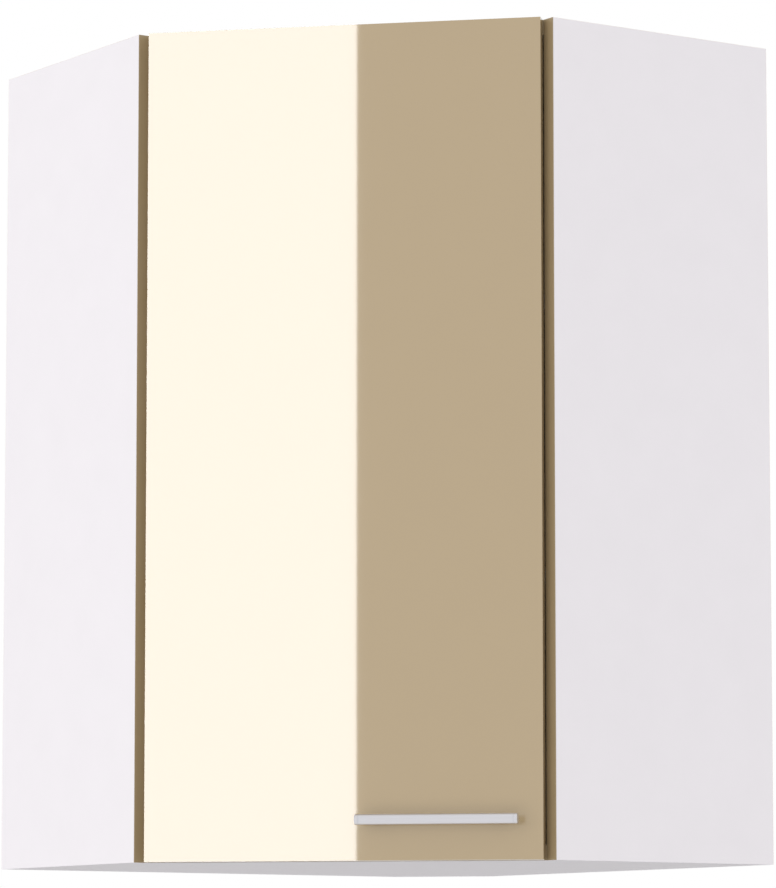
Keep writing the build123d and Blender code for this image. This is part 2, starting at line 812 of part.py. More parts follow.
for name, level in zip(("lower", "upper"), hinge_levels):
    with BuildPart() as hinge_plate:
        with Locations(left_inner):
            with Locations((plate_setback, level)):
                Box(*plate_wing_size, plate_wing, align=LOW)
                Box(*plate_ridge, align=LOW)
        with Locations(plate_top):
            with Locations(*plate_screw_places):
                Hole(plate_screw_radius + drill_gap, plate_wing)
        with Locations(arm_top):
            with Locations(*arm_screw_places):
                Hole(arm_screw_radius + drill_gap, arm_sheet + arm_screw_depth + drill_end)
    finish(hinge_plate, f"{name}_hinge_plate")

    with BuildPart() as hinge_arm:
        with Locations(left_inner):
            with Locations((plate_setback, level, plate_ridge[2])):
                Box(plate_ridge[0], 2 * arm_cheeks[1], arm_sheet, align=LOW)
        for top in both_sides(level, arm_cheeks):
            extrude(round_strip(top, outer_branch, cheek_width), cheek_sheet)
            extrude(round_strip(top, inner_branch, cheek_width), cheek_sheet)
            with BuildSketch(hinge_plan(top)) as side:
                with BuildLine():
                    Polyline(*skirt, close=True)
                make_face()
            extrude(side.sketch, cheek_sheet)
        pin_bore(level, outer_at_arm, pin_hole, arm_cheeks[1])
        pin_bore(level, inner_at_arm, pin_hole, arm_cheeks[1])
        with Locations(arm_top):
            with Locations(*arm_screw_places):
                Hole(arm_screw_radius + drill_gap, arm_sheet)
    finish(hinge_arm, f"{name}_hinge_arm")

    with BuildPart() as outer_link:
        for top in both_sides(level, outer_plates):
            extrude(round_strip(top, outer_route, link_width), plate_sheet)
            for end in (outer_at_arm, outer_at_cup):
                extrude(round_pad(top, end, link_eye_radius), plate_sheet)
        for end in (outer_at_arm, outer_at_cup):
            pin_bore(level, end, pin_hole, outer_plates[1])
    finish(outer_link, f"{name}_outer_link")

    with BuildPart() as inner_link:
        top = level + inner_link_half
        extrude(round_strip(top, inner_route, link_width), 2 * inner_link_half)
        extrude(round_pad(top, inner_at_arm, link_eye_radius), 2 * inner_link_half)
        extrude(round_pad(top, inner_at_cup, inner_eye_radius), 2 * inner_link_half)
        pin_bore(level, inner_at_arm, pin_hole, inner_link_half)
        pin_bore(level, inner_at_cup, hinge_pin_radius + inner_link_play, inner_link_half)
    finish(inner_link, f"{name}_inner_link")

    with BuildPart() as hinge_cup:
        with Locations(front_plane.offset(buffer_gap)):
            with Locations((cup_middle, level)):
                Cylinder(cup_radius, cup_depth, align=LOW)
        with BuildSketch(front_plane.offset(buffer_gap - cup_flange)) as flange:
            with Locations((cup_middle, level)):
                Circle(cup_flange_radius)
            with Locations((cup_middle + cup_screw_offset[0], level)):
                SlotCenterToCenter(2 * cup_screw_offset[1], 2 * cup_ear_radius, rotation=90)
        extrude(flange.sketch, cup_flange)
        with Locations(front_plane.offset(buffer_gap - cup_flange)):
            with Locations((cup_middle, level)):
                Box(*cup_pocket, cup_flange + cup_depth - cup_floor, align=LOW, mode=Mode.SUBTRACT)
            with Locations(*cup_screw_places):
                Cylinder(cup_screw_radius + drill_gap, cup_flange, align=LOW, mode=Mode.SUBTRACT)
        lug_root = (cup_edge + door_side_gap - cup_pocket[0] / 2, inner_at_cup[1])
        for top in both_sides(level, cup_lugs):
            extrude(round_strip(top, [lug_root, inner_at_cup], link_width), lug_sheet)
            extrude(round_pad(top, inner_at_cup, link_eye_radius), lug_sheet)
        pin_bore(level, outer_at_cup, pin_hole, cup_pin_reach)
        pin_bore(level, inner_at_cup, pin_hole, cup_lugs[1])
    finish(hinge_cup, f"{name}_hinge_cup")

# screws and pins of both hinges
with BuildPart() as hinge_plate_screws:
    with Locations(plate_top):
        with Locations(*plate_screw_places):
            Cylinder(screw_head_radius, screw_head, align=LOW)
            Cylinder(
                plate_screw_radius, plate_wing + bolt_thread,
                align=(Align.CENTER, Align.CENTER, Align.MAX),
            )
    with Locations(plate_top.offset(screw_head)):
        with Locations(*plate_screw_places):
            cross_recess()
finish(hinge_plate_screws, "hinge_plate_screws")

with BuildPart() as hinge_arm_screws:
    with Locations(arm_top):
        with Locations(*arm_screw_places[2:]):
            Cylinder(screw_head_radius, screw_head, align=LOW)
            Cylinder(
                arm_screw_radius, arm_sheet + arm_screw_depth,
                align=(Align.CENTER, Align.CENTER, Align.MAX),
            )
    with Locations(arm_top.offset(screw_head)):
        with Locations(*arm_screw_places[2:]):
            cross_recess()
finish(hinge_arm_screws, "hinge_arm_screws")

with BuildPart() as hinge_adjusting_screws:
    with Locations(arm_top):
        with Locations(*arm_screw_places[:2]):
            Cylinder(
                arm_screw_radius, arm_sheet + arm_screw_depth,
                align=(Align.CENTER, Align.CENTER, Align.MAX),
            )
            Box(2 * arm_screw_radius, recess_width, recess_width, mode=Mode.SUBTRACT)
finish(hinge_adjusting_screws, "hinge_adjusting_screws")

with BuildPart() as hinge_cup_screws:
    with Locations(front_plane.offset(buffer_gap - cup_flange)):
        with Locations(*cup_screw_places):
            Cylinder(cup_screw_radius, cup_flange + cup_screw_length, align=LOW)
            Cylinder(
                cup_screw_head_radius, screw_head, align=(Align.CENTER, Align.CENTER, Align.MAX)
            )
    with Locations(front_plane.offset(buffer_gap - cup_flange - screw_head)):
        with Locations(*cup_screw_places):
            cross_recess()
finish(hinge_cup_screws, "hinge_cup_screws")

with BuildPart() as hinge_arm_pins:
    for level in hinge_levels:
        with Locations(hinge_plan(level)):
            with Locations(inner_at_arm):
                Cylinder(hinge_pin_radius, 2 * (arm_cheeks[1] + rivet_head))
        pin_layer = (cup_lugs[1] + hinge_pin_gap, arm_cheeks[1])
        for top in both_sides(level, pin_layer):
            extrude(round_pad(top, outer_at_arm, hinge_pin_radius), pin_layer[1] - pin_layer[0])
        for top in (level + arm_cheeks[1] + rivet_head, level - arm_cheeks[1]):
            for end in (outer_at_arm, inner_at_arm):
                extrude(round_pad(top, end, rivet_head_radius), rivet_head)
finish(hinge_arm_pins, "hinge_arm_pins")

with BuildPart() as hinge_cup_pins:
    for level in hinge_levels:
        with Locations(hinge_plan(level)):
            with Locations(outer_at_cup):
                Cylinder(hinge_pin_radius, 2 * cup_pin_reach)
            with Locations(inner_at_cup):
                Cylinder(hinge_pin_radius, 2 * cup_lugs[1])
finish(hinge_cup_pins, "hinge_cup_pins")
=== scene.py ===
from math import cos, pi, radians, sin

import bmesh
import bpy
from mathutils import Matrix, Vector


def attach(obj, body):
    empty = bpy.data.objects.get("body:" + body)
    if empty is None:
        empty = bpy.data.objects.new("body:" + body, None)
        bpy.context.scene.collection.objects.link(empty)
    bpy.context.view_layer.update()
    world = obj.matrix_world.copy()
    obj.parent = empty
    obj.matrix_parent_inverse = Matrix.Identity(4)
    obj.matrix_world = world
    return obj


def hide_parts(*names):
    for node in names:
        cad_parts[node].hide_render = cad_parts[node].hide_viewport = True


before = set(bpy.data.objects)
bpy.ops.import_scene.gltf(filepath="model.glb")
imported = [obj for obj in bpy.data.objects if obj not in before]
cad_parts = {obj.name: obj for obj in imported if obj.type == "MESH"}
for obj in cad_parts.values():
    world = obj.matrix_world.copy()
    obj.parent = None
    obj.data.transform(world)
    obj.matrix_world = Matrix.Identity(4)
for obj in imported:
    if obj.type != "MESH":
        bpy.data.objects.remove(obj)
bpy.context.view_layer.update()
scene = bpy.context.scene

# Camera. The photograph was taken with a long lens from more than four metres, to the right of
# the door's axis and a little below the cabinet, so the underside shows as a thin band.
picture = (776, 888)                    # pixels
focal_length = 4518.9                   # pixels
sensor = 36.0                           # mm, along the picture's long side
picture_shift = 0.07                    # of the long side; more would cut off higher views
camera_place = Vector((4.0623, -2.7150, -0.1490))
camera_turn, camera_rise = radians(56.156), radians(6.313)

lens = bpy.data.cameras.new("long_lens")
lens.sensor_width = sensor
lens.lens = focal_length * sensor / max(picture)
lens.shift_y = picture_shift
camera = bpy.data.objects.new("camera", lens)
camera.location = camera_place
camera.rotation_mode = "QUATERNION"
camera.rotation_quaternion = Vector((
    -sin(camera_turn) * cos(camera_rise), cos(camera_turn) * cos(camera_rise), sin(camera_rise),
)).to_track_quat("-Z", "Y")
scene.collection.objects.link(camera)
scene.camera = camera
scene.view_settings.view_transform = "Standard"


# Room. Even white light all round: white to look at and in reflections, and weaker where it
# lights a surface, so that the lamp in front can model the cabinet's sides.
room_light = 0.81


def add_node(tree, kind, inputs=(), **settings):
    """Add a node with its settings, and link or set its inputs. Gives the node back."""
    made = tree.nodes.new(kind)
    for name, value in settings.items():
        setattr(made, name, value)
    for key, value in dict(inputs).items():
        if isinstance(value, bpy.types.NodeSocket):
            tree.links.new(value, made.inputs[key])
        else:
            made.inputs[key].default_value = value
    return made


def linear(code):
    """A hex sRGB colour as linear red, green, blue and alpha."""
    parts = [int(code[i:i + 2], 16) / 255 for i in (0, 2, 4)]
    return [p / 12.92 if p <= 0.04045 else ((p + 0.055) / 1.055) ** 2.4 for p in parts] + [1.0]


def seen_straight(tree):
    """1 where a surface is looked at, mirrored or seen through, and 0 where it only lights."""
    path = add_node(tree, "ShaderNodeLightPath")
    looked_at = add_node(tree, "ShaderNodeMath", {
        0: path.outputs["Is Camera Ray"], 1: path.outputs["Is Glossy Ray"],
    }, operation="MAXIMUM")
    seen = add_node(tree, "ShaderNodeMath", {
        0: looked_at.outputs[0], 1: path.outputs["Is Transmission Ray"],
    }, operation="MAXIMUM")
    return seen.outputs[0]


room = bpy.data.worlds.new("white_room")
room.use_nodes = True
scene.world = room
tree = room.node_tree
tree.nodes.clear()
level = add_node(tree, "ShaderNodeMapRange", {
    "Value": seen_straight(tree), "To Min": room_light, "To Max": 1.0,
})
glow = add_node(tree, "ShaderNodeBackground", {
    "Color": linear("FFFFFF"), "Strength": level.outputs[0],
})
add_node(tree, "ShaderNodeOutputWorld", {"Surface": glow.outputs[0]})

# Lamp. One very large soft source in front, to the left and a little below, so that the left
# side is the lighter one and the handle's soft shadow lies as much above it as below. It has no
# mirror image, because the photograph shows none.
lamp_turn, lamp_rise = radians(33), radians(-6)
lamp_level = 0.428                      # added to a white face that it meets squarely
lamp_spread = radians(60)               # wide, so that shadows have no edge

lamp_data = bpy.data.lights.new("soft_front_lamp", "SUN")
lamp_data.energy = lamp_level * pi
lamp_data.angle = lamp_spread
lamp = bpy.data.objects.new("soft_front_lamp", lamp_data)
lamp.rotation_mode = "QUATERNION"
lamp.rotation_quaternion = Vector((
    -sin(lamp_turn) * cos(lamp_rise), cos(lamp_turn) * cos(lamp_rise), -sin(lamp_rise),
)).to_track_quat("-Z", "Y")
lamp.visible_glossy = False
scene.collection.objects.link(lamp)

# Bright panel. The photograph's glossy door mirrors one over its left half, with a sharp upright
# edge. This one lights nothing and shows in reflections alone. Its edge stands on the line from
# the camera's mirror image through the place on the door where the reflection ends.
out_of_door = Vector((1, -1, 0)).normalized()
along_door = Vector((1, 1, 0)).normalized()
door_front = 0.2072                     # from the upright axis to the door's face, m
mirror_edge = 0.0152                    # to the right of the door's middle, m
panel_distance = 3.0                    # m, from the door
panel_width, panel_height = 1.1, 2.12   # m
panel_middle = 0.56                     # m above the cabinet's underside
panel_level = 6.0                       # against the room's 1

mirrored_camera = camera_place + 2 * (
    door_front - camera_place.dot(out_of_door)
) * out_of_door
edge_on_door = door_front * out_of_door + mirror_edge * along_door
mirror_way = edge_on_door - mirrored_camera
mirror_way.z = 0
mirror_way.normalize()
panel_side = Vector((mirror_way.y, -mirror_way.x, 0))
panel_data = bpy.data.lights.new("bright_panel", "AREA")
panel_data.shape = "RECTANGLE"
panel_data.size, panel_data.size_y = panel_width, panel_height
panel_data.energy = panel_level * pi * panel_width * panel_height
panel = bpy.data.objects.new("bright_panel", panel_data)
panel_place = edge_on_door + panel_distance * mirror_way + panel_width / 2 * panel_side
panel.location = (panel_place.x, panel_place.y, panel_middle)
panel.rotation_mode = "QUATERNION"
panel.rotation_quaternion = (-mirror_way).to_track_quat("-Z", "Y")
panel.visible_camera = panel.visible_diffuse = panel.visible_transmission = False
scene.collection.objects.link(panel)


# Floor. Pale matt paint, faintly blotchy, well below the cabinet, which hangs on a wall. It is
# nearly white wherever it is seen, and still takes the object's shadow.
floor_level = -1.4                      # m
floor_reach = 30.0                      # m, to each side
floor_blotch = 900.0                    # mm
floor_lift = 0.57                       # of white, added where the floor is seen
mm_in_metre = 1000.0
fold = radians(32)                      # an edge that turns by more stays sharp


def new_finish(name):
    """A material with an empty tree. Gives it, its tree and the place on the piece in mm."""
    finish = bpy.data.materials.new(name)
    finish.use_nodes = True
    tree = finish.node_tree
    tree.nodes.clear()
    held = add_node(tree, "ShaderNodeTexCoord")
    place = add_node(tree, "ShaderNodeVectorMath", {
        0: held.outputs["Object"], "Scale": mm_in_metre,
    }, operation="SCALE")
    return finish, tree, place.outputs[0]


def new_piece(name, bm, finish):
    """An object for a finished bmesh, with its normals outwards and its folds sharp."""
    bmesh.ops.recalc_face_normals(bm, faces=bm.faces)
    for face in bm.faces:
        face.smooth = True
    for edge in bm.edges:
        edge.smooth = edge.calc_face_angle(0.0) < fold
    mesh = bpy.data.meshes.new(name)
    bm.to_mesh(mesh)
    bm.free()
    mesh.materials.append(finish)
    piece = bpy.data.objects.new(name, mesh)
    scene.collection.objects.link(piece)
    return piece


floor_finish, tree, place = new_finish("matt_floor_paint")
blotches = add_node(tree, "ShaderNodeTexNoise", {
    "Vector": place, "Scale": 1 / floor_blotch, "Detail": 3.0})
floor_tone = add_node(tree, "ShaderNodeMix", {
    "Factor": blotches.outputs["Fac"], "A": linear("C1C1C1"), "B": linear("C5C5C5"),
}, data_type="RGBA")
matt = add_node(tree, "ShaderNodeBsdfDiffuse", {"Color": floor_tone.outputs["Result"]})
lift = add_node(tree, "ShaderNodeMath", {
    0: seen_straight(tree), 1: floor_lift}, operation="MULTIPLY")
lifted = add_node(tree, "ShaderNodeEmission", {
    "Color": linear("FFFFFF"), "Strength": lift.outputs[0],
})
both = add_node(tree, "ShaderNodeAddShader", {0: matt.outputs[0], 1: lifted.outputs[0]})
add_node(tree, "ShaderNodeOutputMaterial", {"Surface": both.outputs[0]})
bm = bmesh.new()
bmesh.ops.create_grid(bm, x_segments=1, y_segments=1, size=floor_reach)
bmesh.ops.translate(bm, verts=bm.verts, vec=(0, 0, floor_level))
floor = new_piece("floor", bm, floor_finish)

low_light = bpy.data.collections.new("what_the_lamp_shines_through")
low_light.objects.link(floor)
low_light.collection_objects[0].light_linking.link_state = "EXCLUDE"
lamp.light_linking.blocker_collection = low_light


# Side panels, bottom, top, shelves and the upright board across the rear corner. They are 16 mm
# chipboard pressed between sheets of white melamine paper with a fine pearl grain. The edges that
# meet the wall, and the sides' upper ends, have no band and show the chips.
wall_plane = 299.9                      # mm, just inside the edges against the walls
rear_cut = 519.9                        # mm, y - x at the board ends across the rear corner
upper_end = 879.9                       # mm, just under the sides' upper ends
paper_cloud = 45.0                      # mm, soft changes in the paper's white
pearl_grain = 1.6                       # mm; the real one is half that, too fine to show
chip_length = 3.2                       # mm
dust_grain = chip_length / 2
paper_roughness, chip_roughness = 0.55, 0.92
paper_relief, chip_relief = 0.05, 0.8
board_relief_height = 0.0003            # m


def paint(finish, *names):
    """Give CAD nodes a material."""
    for name in names:
        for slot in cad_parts[name].material_slots:
            slot.material = finish


def melamine_board(name, raw_at_walls, raw_upper_end):
    """White melamine on chipboard, raw where the board meets a wall."""
    finish, tree, place = new_finish(name)
    at = add_node(tree, "ShaderNodeSeparateXYZ", {0: place})
    left_wall = add_node(tree, "ShaderNodeMath", {
        0: at.outputs["X"], 1: -wall_plane}, operation="LESS_THAN")
    right_wall = add_node(tree, "ShaderNodeMath", {
        0: at.outputs["Y"], 1: wall_plane}, operation="GREATER_THAN")
    across = add_node(tree, "ShaderNodeMath", {
        0: at.outputs["Y"], 1: at.outputs["X"]}, operation="SUBTRACT")
    corner = add_node(tree, "ShaderNodeMath", {
        0: across.outputs[0], 1: rear_cut}, operation="GREATER_THAN")
    walls = add_node(tree, "ShaderNodeMath", {
        0: left_wall.outputs[0], 1: right_wall.outputs[0]}, operation="MAXIMUM")
    rear = add_node(tree, "ShaderNodeMath", {
        0: walls.outputs[0], 1: corner.outputs[0]}, operation="MAXIMUM")
    raw = add_node(tree, "ShaderNodeMath", {
        0: rear.outputs[0], 1: float(raw_at_walls)}, operation="MULTIPLY")
    if raw_upper_end:
        end = add_node(tree, "ShaderNodeMath", {
            0: at.outputs["Z"], 1: upper_end}, operation="GREATER_THAN")
        raw = add_node(tree, "ShaderNodeMath", {
            0: raw.outputs[0], 1: end.outputs[0]}, operation="MAXIMUM")

    paper = add_node(tree, "ShaderNodeTexNoise", {
        "Vector": place, "Scale": 1 / paper_cloud, "Detail": 4.0})
    white = add_node(tree, "ShaderNodeMix", {
        "Factor": paper.outputs["Fac"], "A": linear("F1EDF1"), "B": linear("F5F1F5"),
    }, data_type="RGBA")
    chips = add_node(tree, "ShaderNodeTexVoronoi", {"Vector": place, "Scale": 1 / chip_length})
    chip_shade = add_node(tree, "ShaderNodeSeparateColor", {0: chips.outputs["Color"]})
    dust = add_node(tree, "ShaderNodeTexNoise", {
        "Vector": place, "Scale": 1 / dust_grain, "Detail": 5.0})
    chip_tone = add_node(tree, "ShaderNodeMix", {
        "Factor": chip_shade.outputs[0], "A": linear("A5825A"), "B": linear("E0C69C"),
    }, data_type="RGBA")
    chipboard = add_node(tree, "ShaderNodeMix", {
        "Factor": dust.outputs["Fac"], "A": chip_tone.outputs["Result"], "B": linear("C8A676"),
    }, data_type="RGBA")
    colour = add_node(tree, "ShaderNodeMix", {
        "Factor": raw.outputs[0], "A": white.outputs["Result"], "B": chipboard.outputs["Result"],
    }, data_type="RGBA")
    roughness = add_node(tree, "ShaderNodeMapRange", {
        "Value": raw.outputs[0], "To Min": paper_roughness, "To Max": chip_roughness})
    pearl = add_node(tree, "ShaderNodeTexNoise", {"Vector": place, "Scale": 1 / pearl_grain})
    relief = add_node(tree, "ShaderNodeMix", {
        "Factor": raw.outputs[0], "A": pearl.outputs["Fac"], "B": dust.outputs["Fac"]})
    depth = add_node(tree, "ShaderNodeMapRange", {
        "Value": raw.outputs[0], "To Min": paper_relief, "To Max": chip_relief})
    bump = add_node(tree, "ShaderNodeBump", {
        "Height": relief.outputs["Result"], "Strength": depth.outputs[0],
        "Distance": board_relief_height})
    shader = add_node(tree, "ShaderNodeBsdfPrincipled", {
        "Base Color": colour.outputs["Result"], "Roughness": roughness.outputs[0],
        "Normal": bump.outputs[0], "IOR": 1.5,
    })
    add_node(tree, "ShaderNodeOutputMaterial", {"Surface": shader.outputs[0]})
    return finish


side_melamine = melamine_board("white_melamine_side_board", True, True)
paint(side_melamine, "left_side_panel", "right_side_panel")
end_melamine = melamine_board("white_melamine_end_board", True, False)
paint(end_melamine, "bottom_panel", "top_panel")
white_melamine = melamine_board("white_melamine_board", False, False)
paint(white_melamine, "lower_shelf", "upper_shelf", "corner_back_board")


# White edge bands on the shelves' front edges: extruded ABS strip, glued on hot and trimmed
# flush, a little smoother than the boards' faces.
band_cloud = 50.0                       # mm
band_rub = 1.2                          # mm, the fine marks of trimming
band_relief, band_relief_height = 0.06, 0.0002


def band_finish(name, dark, light):
    """Plastic edge band with faint clouds in its tone and fine marks on it."""
    finish, tree, place = new_finish(name)
    cloudy = add_node(tree, "ShaderNodeTexNoise", {
        "Vector": place, "Scale": 1 / band_cloud, "Detail": 3.0})
    tone = add_node(tree, "ShaderNodeMix", {
        "Factor": cloudy.outputs["Fac"], "A": linear(dark), "B": linear(light),
    }, data_type="RGBA")
    rub = add_node(tree, "ShaderNodeTexNoise", {"Vector": place, "Scale": 1 / band_rub})
    bump = add_node(tree, "ShaderNodeBump", {
        "Height": rub.outputs["Fac"], "Strength": band_relief, "Distance": band_relief_height})
    shader = add_node(tree, "ShaderNodeBsdfPrincipled", {
        "Base Color": tone.outputs["Result"], "Roughness": 0.36, "IOR": 1.5,
        "Normal": bump.outputs[0],
    })
    add_node(tree, "ShaderNodeOutputMaterial", {"Surface": shader.outputs[0]})
    return finish


white_band = band_finish("white_abs_edge_band", "EEEBEC", "F3F0F1")
paint(white_band, "lower_shelf_band", "upper_shelf_band")

# Tan edge bands on the front edges of the side panels, bottom and top: the same strip in the
# door's colour, so that the gaps beside the door don't show white.
tan_band = band_finish("tan_abs_edge_band", "9B8868", "A18E6E")
paint(
    tan_band, "left_side_front_band", "right_side_front_band", "bottom_front_band",
    "top_front_band",
)


# Backs: 3 mm hardboard, lacquered white on the inside. The outside is raw brown fibre with the
# imprint of the wire screen that it was pressed on.
hardboard_face = 287.9                  # mm, just inside the outer faces
screen_pitch = 3.0                      # mm; the real wires are 1 mm apart, too fine to show
painted_hollow_shade_level = 0.86                     # how dark the painted shade in the screen pattern's hollows is, at its deepest
fibre_bundle = 5.0                      # mm
lacquer_cloud = 30.0                    # mm
orange_peel = 2.5                       # mm
lacquer_roughness, fibre_roughness = 0.38, 0.88
lacquer_relief, screen_relief = 0.08, 0.6

hardboard, tree, place = new_finish("white_lacquered_hardboard")
at = add_node(tree, "ShaderNodeSeparateXYZ", {0: place})
left_out = add_node(tree, "ShaderNodeMath", {
    0: at.outputs["X"], 1: -hardboard_face}, operation="LESS_THAN")
right_out = add_node(tree, "ShaderNodeMath", {
    0: at.outputs["Y"], 1: hardboard_face}, operation="GREATER_THAN")
raw = add_node(tree, "ShaderNodeMath", {
    0: left_out.outputs[0], 1: right_out.outputs[0]}, operation="MAXIMUM")
level_run = add_node(tree, "ShaderNodeMath", {
    0: at.outputs["X"], 1: at.outputs["Y"]}, operation="ADD")
weft_turns = add_node(tree, "ShaderNodeMath", {
    0: level_run.outputs[0], 1: 2 * pi / screen_pitch}, operation="MULTIPLY")
warp_turns = add_node(tree, "ShaderNodeMath", {
    0: at.outputs["Z"], 1: 2 * pi / screen_pitch}, operation="MULTIPLY")
weft = add_node(tree, "ShaderNodeMath", {0: weft_turns.outputs[0]}, operation="SINE")
warp = add_node(tree, "ShaderNodeMath", {0: warp_turns.outputs[0]}, operation="SINE")
screen = add_node(tree, "ShaderNodeMath", {
    0: weft.outputs[0], 1: warp.outputs[0]}, operation="MULTIPLY")
fibres = add_node(tree, "ShaderNodeTexNoise", {
    "Vector": place, "Scale": 1 / fibre_bundle, "Detail": 8.0, "Distortion": 1.5})
fibre_tone = add_node(tree, "ShaderNodeMix", {
    "Factor": fibres.outputs["Fac"], "A": linear("694B2E"), "B": linear("A67F53"),
}, data_type="RGBA")
# Painted shade: the fibre's brown is darkened where the screen pattern is deepest, on top of its
# relief.
painted_hollow_shade = add_node(tree, "ShaderNodeMapRange", {
    "Value": screen.outputs[0], "From Min": -1.0, "To Min": painted_hollow_shade_level, "To Max": 1.0})
brown = add_node(tree, "ShaderNodeVectorMath", {
    0: fibre_tone.outputs["Result"], "Scale": painted_hollow_shade.outputs[0]}, operation="SCALE")
lacquer_mottle = add_node(tree, "ShaderNodeTexNoise", {
    "Vector": place, "Scale": 1 / lacquer_cloud, "Detail": 3.0})
lacquer = add_node(tree, "ShaderNodeMix", {
    "Factor": lacquer_mottle.outputs["Fac"], "A": linear("E9E7E6"), "B": linear("EEECEB"),
}, data_type="RGBA")
colour = add_node(tree, "ShaderNodeMix", {
    "Factor": raw.outputs[0], "A": lacquer.outputs["Result"], "B": brown.outputs[0],
}, data_type="RGBA")
roughness = add_node(tree, "ShaderNodeMapRange", {
    "Value": raw.outputs[0], "To Min": lacquer_roughness, "To Max": fibre_roughness})
peel = add_node(tree, "ShaderNodeTexNoise", {"Vector": place, "Scale": 1 / orange_peel})
relief = add_node(tree, "ShaderNodeMix", {
    "Factor": raw.outputs[0], "A": peel.outputs["Fac"], "B": screen.outputs[0]})
depth = add_node(tree, "ShaderNodeMapRange", {
    "Value": raw.outputs[0], "To Min": lacquer_relief, "To Max": screen_relief})
bump = add_node(tree, "ShaderNodeBump", {
    "Height": relief.outputs["Result"], "Strength": depth.outputs[0],
    "Distance": board_relief_height})
shader = add_node(tree, "ShaderNodeBsdfPrincipled", {
    "Base Color": colour.outputs["Result"], "Roughness": roughness.outputs[0], "IOR": 1.5,
    "Normal": bump.outputs[0],
})
add_node(tree, "ShaderNodeOutputMaterial", {"Surface": shader.outputs[0]})
paint(hardboard, "left_back_panel", "right_back_panel")


# Dowels: beech pins, 8 by 30 mm, pushed into bores in the boards. They place the boards before
# the cams pull them together, and show only the wood's warm tone and fine grain.
beech_grain = (0.12, 0.12, 0.9)         # lines per mm: long in the level, fine upwards

beech, tree, place = new_finish("beech")
grain_way = add_node(tree, "ShaderNodeMapping", {"Vector": place, "Scale": beech_grain})
grain = add_node(tree, "ShaderNodeTexNoise", {
    "Vector": grain_way.outputs[0], "Scale": 1.0, "Detail": 5.0})
tone = add_node(tree, "ShaderNodeMix", {
    "Factor": grain.outputs["Fac"], "A": linear("B98C5C"), "B": linear("D9B487"),
}, data_type="RGBA")
shader = add_node(tree, "ShaderNodeBsdfPrincipled", {
    "Base Color": tone.outputs["Result"], "Roughness": 0.62, "IOR": 1.5,
})
add_node(tree, "ShaderNodeOutputMaterial", {"Surface": shader.outputs[0]})
paint(beech, "wooden_dowels")


# Cams, bolts, screws, shelf pins and hanger hooks: steel or zinc casting with a thin bluish zinc
# plating, dull and slightly uneven.
rolling_mark = 0.8                      # mm
metal_relief, metal_relief_height = 0.08, 0.0002
cloud_low, cloud_high = 0.3, 0.7        # nearly all of a noise pattern lies between these


def plated(name, dark, light, roughness_low, roughness_high, patch):
    """Plated metal with soft patches in tone and roughness, `patch` mm across."""
    finish, tree, place = new_finish(name)
    cloudy = add_node(tree, "ShaderNodeTexNoise", {
        "Vector": place, "Scale": 1 / patch, "Detail": 4.0})
    tone = add_node(tree, "ShaderNodeMix", {
        "Factor": cloudy.outputs["Fac"], "A": linear(dark), "B": linear(light),
    }, data_type="RGBA")
    roughness = add_node(tree, "ShaderNodeMapRange", {
        "Value": cloudy.outputs["Fac"], "From Min": cloud_low, "From Max": cloud_high,
        "To Min": roughness_low, "To Max": roughness_high})
    rolled = add_node(tree, "ShaderNodeTexNoise", {"Vector": place, "Scale": 1 / rolling_mark})
    bump = add_node(tree, "ShaderNodeBump", {
        "Height": rolled.outputs["Fac"], "Strength": metal_relief,
        "Distance": metal_relief_height})
    shader = add_node(tree, "ShaderNodeBsdfPrincipled", {
        "Base Color": tone.outputs["Result"], "Metallic": 1.0,
        "Roughness": roughness.outputs[0], "Normal": bump.outputs[0],
    })
    add_node(tree, "ShaderNodeOutputMaterial", {"Surface": shader.outputs[0]})
    return finish


zinc = plated("zinc_plated_steel", "AEB4BB", "C9CDD1", 0.30, 0.46, 6.0)
paint(
    zinc, "cam_housings", "cam_bolts", "shelf_pins", "back_panel_screws", "handle_screws",
    "left_hanger_hook", "right_hanger_hook", "hanger_fixing_screws", "hanger_adjusting_screws",
)


# Hanger housings and cover caps: moulded white polypropylene with a fine spark grain.
spark_grain = 1.0                       # mm; the real one is finer, too fine to show
spark_relief, spark_relief_height = 0.15, 0.0002
moulding_cloud = 12.0                   # mm

white_plastic, tree, place = new_finish("moulded_white_polypropylene")
spark = add_node(tree, "ShaderNodeTexNoise", {
    "Vector": place, "Scale": 1 / spark_grain, "Detail": 3.0})
cloudy = add_node(tree, "ShaderNodeTexNoise", {
    "Vector": place, "Scale": 1 / moulding_cloud, "Detail": 2.0})
tone = add_node(tree, "ShaderNodeMix", {
    "Factor": cloudy.outputs["Fac"], "A": linear("E9E9E7"), "B": linear("EFEFED"),
}, data_type="RGBA")
bump = add_node(tree, "ShaderNodeBump", {
    "Height": spark.outputs["Fac"], "Strength": spark_relief, "Distance": spark_relief_height})
shader = add_node(tree, "ShaderNodeBsdfPrincipled", {
    "Base Color": tone.outputs["Result"], "Roughness": 0.45, "IOR": 1.49,
    "Normal": bump.outputs[0],
})
add_node(tree, "ShaderNodeOutputMaterial", {"Surface": shader.outputs[0]})
paint(white_plastic, "hanger_housings", "hanger_cover_caps", "cam_cover_caps")


# Hinges: cups, links, arms and plates pressed from steel strip and nickel plated, bright and
# faintly warm, with turned pins and pan head screws.
nickel = plated("nickel_plated_steel", "C6BFB4", "DAD4CA", 0.20, 0.30, 9.0)
paint(
    nickel,
    *(f"{end}_{part}" for end in ("lower", "upper")
      for part in ("hinge_plate", "hinge_arm", "outer_link", "inner_link", "hinge_cup")),
    "hinge_cup_screws", "hinge_plate_screws", "hinge_arm_screws", "hinge_adjusting_screws",
    "hinge_cup_pins", "hinge_arm_pins",
)


# Door core: 16 mm chipboard with the shelves' white melamine on its inner face. The gloss skin
# covers its outer face, and the bands its edges.
paint(white_melamine, "door_board")

# Door front and edges: tan acrylic skin polished to a mirror gloss under a clear coat, and bands
# of the same glossy plastic glued round the edges.
pigment_cloud = 60.0                    # mm

